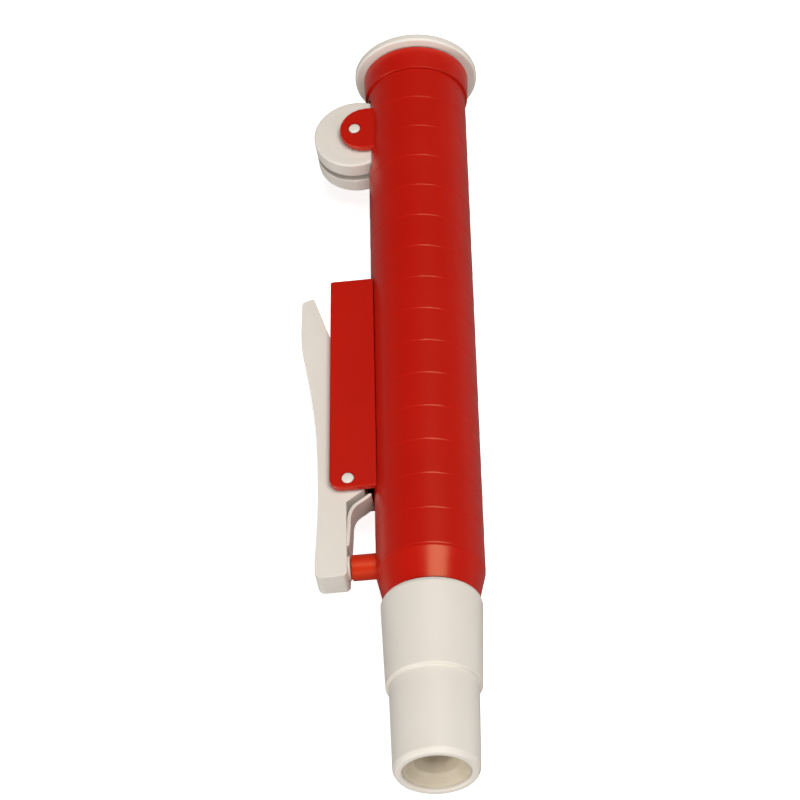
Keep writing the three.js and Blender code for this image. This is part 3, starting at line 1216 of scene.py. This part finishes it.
@dataclass
class Plunger:
    """The plunger: a cross-ribbed rod with a rack, a thumb plate above and a sealed piston below."""

    wheel: WheelSet
    rod_bottom: float = 68.3
    rod_top: float = 202.3
    rib: float = 0.8
    rack_rib: float = 0.6
    reach: float = 9.0
    rack_bottom: float = 104.0
    rack_top: float = 191.0
    foot_radius: float = 9.5
    peg_radius: float = 3.0
    peg_bottom: float = 61.0
    plate_radius: float = 15.5
    plate_bottom: float = 202.6
    plate_top: float = 204.8
    plate_peg: float = 2.0
    plate_peg_bottom: float = 196.0
    piston_bottom: float = 58.0
    piston_top: float = 68.0
    piston_radius: float = 10.5
    seals: tuple[float, float] = (60.5, 65.5)
    groove_radius: float = 9.2
    groove_half: float = 1.0
    seal_radius: float = 10.88

    def _rack_outline(self) -> list[Vector]:
        """The toothed rib's outline, with the rack's teeth towards -X."""
        wheel = self.wheel
        pitch = math.pi * wheel.module
        line = wheel.x + wheel.pitch_radius
        tip_x, root_x = line - 0.8 * wheel.module, line + 1.15 * wheel.module
        lean = math.tan(wheel.pressure)
        at_pitch = pitch / 4 - wheel.slack
        tip, foot = at_pitch - 0.8 * lean, at_pitch + 1.15 * lean
        count = int((wheel.y - self.rack_bottom) / pitch)
        first = wheel.y + pitch / 2 - count * pitch
        corners = [Corner(self.reach, self.rod_top, 0.4), Corner(self.reach, self.rod_bottom)]
        corners.append(Corner(root_x, self.rod_bottom))
        y = first
        while y < self.rack_top:
            corners.append(Corner(root_x, y - foot, 0.15))
            corners.append(Corner(tip_x, y - tip, 0.15))
            corners.append(Corner(tip_x, y + tip, 0.15))
            corners.append(Corner(root_x, y + foot, 0.15))
            y += pitch
        corners.append(Corner(root_x, self.rod_top, 0.4))
        return outline(corners)

    def rod(self) -> Piece:
        """The rod: toothed rib, cross rib, foot, peg and the socket for the plate's peg."""
        rod = slab("plunger_shaft", self._rack_outline(), -self.rack_rib, self.rack_rib)
        cross = [
            Corner(-self.rib, self.rod_bottom),
            Corner(self.rib, self.rod_bottom),
            Corner(self.rib, self.rod_top),
            Corner(-self.rib, self.rod_top),
        ]
        combine(rod, slab("rib", outline(cross), -self.reach, self.reach), Join.WELD)
        soften(rod, 0.12, 2, 60)
        foot = [
            Corner(0, self.peg_bottom),
            Corner(self.peg_radius, self.peg_bottom, 0.3),
            Corner(self.peg_radius, self.rod_bottom),
            Corner(self.foot_radius, self.rod_bottom, 0.3),
            Corner(self.foot_radius, self.rod_bottom + 1.6, 0.3),
            Corner(0, self.rod_bottom + 1.6),
        ]
        combine(rod, turned("foot", outline(foot, closed=False)), Join.WELD)
        socket = [
            Corner(self.plate_peg + 0.3, self.plate_peg_bottom - 0.3),
            Corner(4.2, 194.6),
            Corner(4.2, self.rod_top - 0.01),
            Corner(self.plate_peg + 0.3, self.rod_top - 0.01),
        ]
        combine(rod, turned("socket", outline(socket), PIN_SIDES), Join.WELD)
        hollow = disc_section(self.plate_peg + 0.3, self.plate_peg_bottom - 0.3, self.rod_top + 1, 0)
        combine(rod, turned("hollow", hollow, PIN_SIDES), Join.CUT)
        return rod

    def plate(self) -> Piece:
        """The thumb plate: a rounded rim round a shallow dish, and the peg beneath."""
        top = self.plate_top
        section = [
            Corner(0, self.plate_peg_bottom),
            Corner(self.plate_peg, self.plate_peg_bottom, 0.3),
            Corner(self.plate_peg, self.plate_bottom),
            Corner(self.plate_radius, self.plate_bottom, 0.6),
            Corner(self.plate_radius, top, 0.7),
            Corner(self.plate_radius - 1.6, top, 0.5),
            Corner(self.plate_radius - 2.6, top - 0.55, 0.8),
            Corner(1.2, top - 0.75, 1.0),
            Corner(0.6, top - 0.95, 0.3),
            Corner(0, top - 0.95),
        ]
        return turned("thumb_disc", outline(section, closed=False))

    def piston(self) -> Piece:
        """The piston: a short drum with two seal grooves and the rod's socket."""
        corners = [Corner(0, self.piston_bottom), Corner(self.piston_radius, self.piston_bottom, 0.6)]
        for y in self.seals:
            low, high = y - self.groove_half, y + self.groove_half
            corners.append(Corner(self.piston_radius, low, 0.1))
            corners.append(Corner(self.groove_radius, low, 0.15))
            corners.append(Corner(self.groove_radius, high, 0.15))
            corners.append(Corner(self.piston_radius, high, 0.1))
        socket = self.peg_radius + 0.3
        corners += [
            Corner(self.piston_radius, self.piston_top, 0.4),
            Corner(socket, self.piston_top, 0.3),
            Corner(socket, self.peg_bottom - 0.3, 0.2),
            Corner(0, self.peg_bottom - 0.3),
        ]
        return turned("piston_drum", outline(corners, closed=False))

    def build(self, fitter: Fitter) -> None:
        """Builds, dresses and fits the plunger's pieces.

        Args:
            fitter: What takes them to the frame.
        """
        fitter.fit(self.rod(), WARM_WHITE, Body.PLUNGER, "plunger_rod")
        fitter.fit(self.plate(), WARM_WHITE, Body.PLUNGER, "thumb_plate")
        fitter.fit(self.piston(), WARM_WHITE, Body.PLUNGER, "piston_head")
        for place, y in zip(("front", "rear"), self.seals):
            radii = (self.groove_radius + 0.1, self.seal_radius)
            seal = seal_ring(f"piston_ring_{place}", radii, y, self.groove_half - 0.1)
            fitter.fit(seal, SEAL_RUBBER, Body.PLUNGER, f"piston_seal_{place}")


# --- The release lever ----------------------------------------------------------------------------------


@dataclass
class ReleaseLever:
    """The lever that opens the vent, with its pad and the leaf that pushes it shut."""

    inner: float = -18.9
    half: float = 3.5
    bottom: float = 51.4
    lug: float = -14.6
    pivot_x: float = -18.2
    pivot_y: float = 77.0
    pin_hole: float = 1.58
    pad_y: float = Barrel.vent_y
    pad_radius: float = 2.9
    pad_outer: float = -20.0
    pad_inner: float = -18.3
    leaf_half: float = 2.9
    leaf_thickness: float = 0.85
    end_round: float = 0.1
    toe_reach: float = 1.7  # how far up its rounded toe goes

    def _lever_outline(self) -> list[Vector]:
        """The lever's side outline, from the thumb end down its back and up its inner face."""
        back = smooth_path(
            [
                (-29.1, 130.4), (-29.2, 117.8), (-27.2, 104.8), (-25.8, 90.6),
                (-25.5, 72.4), (-26.3, 56.8), (-26.35, 53.9),
            ]
        )
        toe = outline([
            Corner(-26.35, 53.9),
            Corner(-26.4, self.bottom, 1.6),
            Corner(self.inner, self.bottom, 1.1),
            Corner(self.inner, 71.6, 0.3),
            Corner(self.lug, 74.7, 0.4),
            Corner(self.lug, self.pivot_y + 2, 1.0),
            Corner(self.inner, self.pivot_y + 7, 2.0),
            Corner(self.inner, 108, 12.0),
            Corner(-22, 119, 8.0),
            Corner(-26.1, 132.1, 0.6),
            Corner(-28.9, 131.3, 0.9),
            Corner(-29.1, 130.4),
        ], closed=False)
        return [*back, *toe[1:-1], back[0]]

    def _round_end(self, lever: Piece) -> None:
        """Takes the edge off the lever's rounded toe, on both faces, before its other edges are softened.

        Args:
            lever: The lever's slab.
        """
        pick(lever)
        bpy.ops.object.mode_set(mode="EDIT")
        bpy.ops.mesh.select_mode(type="EDGE")
        bpy.ops.mesh.select_all(action="DESELECT")
        bpy.ops.object.mode_set(mode="OBJECT")
        low = self.bottom + self.toe_reach
        for edge in lever.data.edges:
            ends = [lever.data.vertices[v].co for v in edge.vertices]
            level = abs(ends[0].z - ends[1].z) < SEAM
            edge.select = level and all(end.y < low for end in ends)
        bpy.ops.object.mode_set(mode="EDIT")
        bpy.ops.mesh.bevel(offset=self.end_round, segments=6, clamp_overlap=True)
        bpy.ops.object.mode_set(mode="OBJECT")

    def lever(self) -> Piece:
        """The lever, with its pin's hole and the pad's pocket."""
        lever = slab("release_lever", self._lever_outline(), -self.half, self.half)
        self._round_end(lever)
        soften(lever, 0.5, 4)
        drill(lever, self.pin_hole, self.pivot_x, self.pivot_y)
        pocket = along_x("pocket", self.pad_radius + 0.15, self.pad_outer - 0.3, -15, self.pad_y)
        combine(lever, pocket, Join.CUT)
        return lever

    def pad(self) -> Piece:
        """The silicone pad that closes the vent."""
        return along_x("vent_pad", self.pad_radius, self.pad_outer, self.pad_inner, self.pad_y, 0.35)

    def leaf(self) -> Piece:
        """The leaf: up the lever's inner face, then across to the barrel."""
        half = self.leaf_thickness / 2
        path = smooth_path([
            (self.inner + half - 0.25, 60.2),
            (self.inner + half + 0.05, 65),
            (self.inner + half + 0.25, 68.4),
            (-17.2, 70.7),
            (-15.0, 72.4),
            (-12.9 - half, 73.7),
        ])
        leaf = slab("return_leaf", ribbon(path, self.leaf_thickness), -self.leaf_half, self.leaf_half)
        soften(leaf, 0.18, 3)
        return leaf

    def build(self, fitter: Fitter) -> None:
        """Builds, dresses and fits the lever's pieces.

        Args:
            fitter: What takes them to the frame.
        """
        fitter.fit(self.lever(), WARM_WHITE, Body.LEVER, "lever")
        fitter.fit(self.pad(), SILICONE, Body.LEVER, "valve_pad")
        leaf = self.leaf()
        fitter.settle(leaf, WARM_WHITE)
        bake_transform(leaf)
        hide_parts("lever_spring")
        log.info("%s bends between the barrel and the lever", leaf.name)


# --- The studio -----------------------------------------------------------------------------------------


def bearing(azimuth: float, elevation: float) -> Vector:
    """The direction from the pump to something that stands round it.

    Args:
        azimuth: Its angle round from the front, which is -Y, towards +X.
        elevation: Its angle above the floor.

    Returns:
        The direction, one unit long.
    """
    level = math.cos(elevation)
    return Vector((math.sin(azimuth) * level, -math.cos(azimuth) * level, math.sin(elevation)))


@dataclass
class Studio:
    """A pale floor, an overhead softbox, two low fills, a horizon bright in front, and the camera."""

    floor_size: float = 8.0
    floor_shade: float = 0.86
    floor_glow: float = 0.74
    floor_bounce: float = 0.5
    floor_mirrored: float = 0.22
    floor_roughness: float = 0.9
    floor_shine: float = 0.1
    key_lean_x: float = math.radians(18.5)
    key_lean_y: float = math.radians(-4)
    key_distance: float = 1.6
    key_width: float = 1.35
    key_depth: float = 1.1
    key_power: float = 26.0
    fill_distance: float = 1.5
    fill_elevation: float = math.radians(18)
    fill_azimuths: tuple[float, float] = (math.radians(-48), math.radians(40))
    fill_powers: tuple[float, float] = (11.5, 4.5)
    fill_size: tuple[float, float] = (0.9, 0.6)
    lamp_colour: Colour = (1.0, 0.975, 0.94)
    horizon: float = 0.9
    zenith: float = 0.02
    behind: float = 0.12
    fade_heights: tuple[float, float] = (math.radians(12), math.radians(34))  # where the horizon fades
    front_edges: tuple[float, float] = (-0.7, -0.1)  # places along Y where its front fades
    azimuth: float = math.radians(8.38)
    elevation: float = math.radians(53.47)
    roll: float = math.radians(-11.81)
    distance: float = 0.7638
    lens: float = 144.63
    sensor: float = 36.0
    clip: tuple[float, float] = (0.01, 50.0)
    aim: tuple[float, float, float] = (-6.04, 101.56, 0.65)  # the middle of the view, on the bench

    def floor(self) -> None:
        """The floor, which isn't part of the object."""
        clear_selection()
        bpy.ops.mesh.primitive_plane_add(size=self.floor_size)
        floor = bpy.context.object
        floor.name = "studio_floor"
        material = bpy.data.materials.new("studio_floor")
        material.use_nodes = True
        tree = material.node_tree
        shader = tree.nodes["Principled BSDF"]
        shader.inputs["Base Color"].default_value = (*[self.floor_shade] * 3, 1)
        shader.inputs["Roughness"].default_value = self.floor_roughness
        shader.inputs["Specular IOR Level"].default_value = self.floor_shine
        shader.inputs["Emission Color"].default_value = (1, 1, 1, 1)
        shader.inputs["Emission Strength"].default_value = self.floor_glow
        bounce = tree.nodes.new("ShaderNodeBsdfDiffuse")
        path = tree.nodes.new("ShaderNodeLightPath")
        shade = tree.nodes.new("ShaderNodeMapRange")
        shade.inputs["To Min"].default_value = self.floor_bounce
        shade.inputs["To Max"].default_value = self.floor_mirrored
        tree.links.new(path.outputs["Is Glossy Ray"], shade.inputs["Value"])
        tree.links.new(shade.outputs["Result"], bounce.inputs["Color"])
        seen = tree.nodes.new("ShaderNodeMixShader")
        tree.links.new(path.outputs["Is Camera Ray"], seen.inputs["Fac"])
        tree.links.new(bounce.outputs["BSDF"], seen.inputs[1])
        tree.links.new(shader.outputs["BSDF"], seen.inputs[2])
        tree.links.new(seen.outputs["Shader"], tree.nodes["Material Output"].inputs["Surface"])
        floor.data.materials.append(material)

    def panel(self, name: str, target: Vector, away: Vector, size: Sequence[float], power: float) -> None:
        """One soft light panel.

        Args:
            name: The light's name.
            target: The point that it faces.
            away: From the target to the panel.
            size: Its width and depth.
            power: Its power.
        """
        data = bpy.data.lights.new(name, "AREA")
        data.shape = "RECTANGLE"
        data.size, data.size_y = size
        data.energy = power
        data.color = self.lamp_colour
        light = bpy.data.objects.new(name, data)
        bpy.context.scene.collection.objects.link(light)
        light.location = target + away
        light.rotation_mode = "QUATERNION"
        light.rotation_quaternion = away.to_track_quat("Z", "Y")

    def lights(self, target: Vector) -> None:
        """The overhead softbox, a little to the right, and two low panels in front of the nose.

        Args:
            target: The point that they face.
        """
        over = Vector((math.tan(self.key_lean_x), math.tan(self.key_lean_y), 1)).normalized()
        key_size = (self.key_width, self.key_depth)
        self.panel("softbox", target, over * self.key_distance, key_size, self.key_power)
        for azimuth, power in zip(self.fill_azimuths, self.fill_powers):
            away = bearing(azimuth, self.fill_elevation)
            self.panel("fill", target, away * self.fill_distance, self.fill_size, power)

    def sky(self) -> None:
        """Light from round about: bright low in front, dim overhead and behind."""
        world = bpy.data.worlds.new("studio")
        bpy.context.scene.world = world
        world.use_nodes = True
        tree = world.node_tree
        background = tree.nodes["Background"]
        direction = tree.nodes.new("ShaderNodeTexCoord")
        height = tree.nodes.new("ShaderNodeSeparateXYZ")
        tree.links.new(direction.outputs["Generated"], height.inputs["Vector"])
        heights = [math.sin(angle) for angle in self.fade_heights]
        fade = between(tree, height.outputs["Z"], heights, (self.horizon, self.zenith))
        ahead = between(tree, height.outputs["Y"], self.front_edges, (1.0, self.behind))
        strength = reckon(tree, "MULTIPLY", fade, ahead)
        tree.links.new(strength, background.inputs["Strength"])
        background.inputs["Color"].default_value = (1, 1, 1, 1)

    def camera(self, target: Vector) -> None:
        """The camera, high in front of the nose and rolled a little.

        Args:
            target: The point in the middle of its view.
        """
        back = bearing(self.azimuth, self.elevation)
        data = bpy.data.cameras.new("camera")
        data.lens = self.lens
        data.sensor_width = self.sensor
        data.clip_start, data.clip_end = self.clip
        camera = bpy.data.objects.new("camera", data)
        bpy.context.scene.collection.objects.link(camera)
        camera.location = target + back * self.distance
        camera.rotation_mode = "QUATERNION"
        camera.rotation_quaternion = back.to_track_quat("Z", "Y") @ Quaternion((0, 0, 1), self.roll)
        bpy.context.scene.camera = camera

    def build(self, fitter: Fitter) -> None:
        """Sets up the floor, the lights and the camera.

        Args:
            fitter: What knows where the pump lies.
        """
        target = fitter.place(*self.aim)
        self.floor()
        self.lights(target)
        self.sky()
        self.camera(target)
        view = bpy.context.scene.view_settings
        view.view_transform = "Standard"
        log.info("studio ready, camera %.0f mm from the pump", self.distance / MM)


def main() -> None:
    """Builds the pump and its studio."""
    logging.basicConfig(level=logging.INFO, format="%(name)s: %(message)s")
    fitter = Fitter()
    Studio().build(fitter)
    wheel = WheelSet()
    for part in (Barrel(), LeverHousing(), Nose(), wheel, Plunger(wheel), ReleaseLever()):
        part.build(fitter)
        log.info("%s finished", type(part).__name__)


if __name__ == "__main__":
    main()
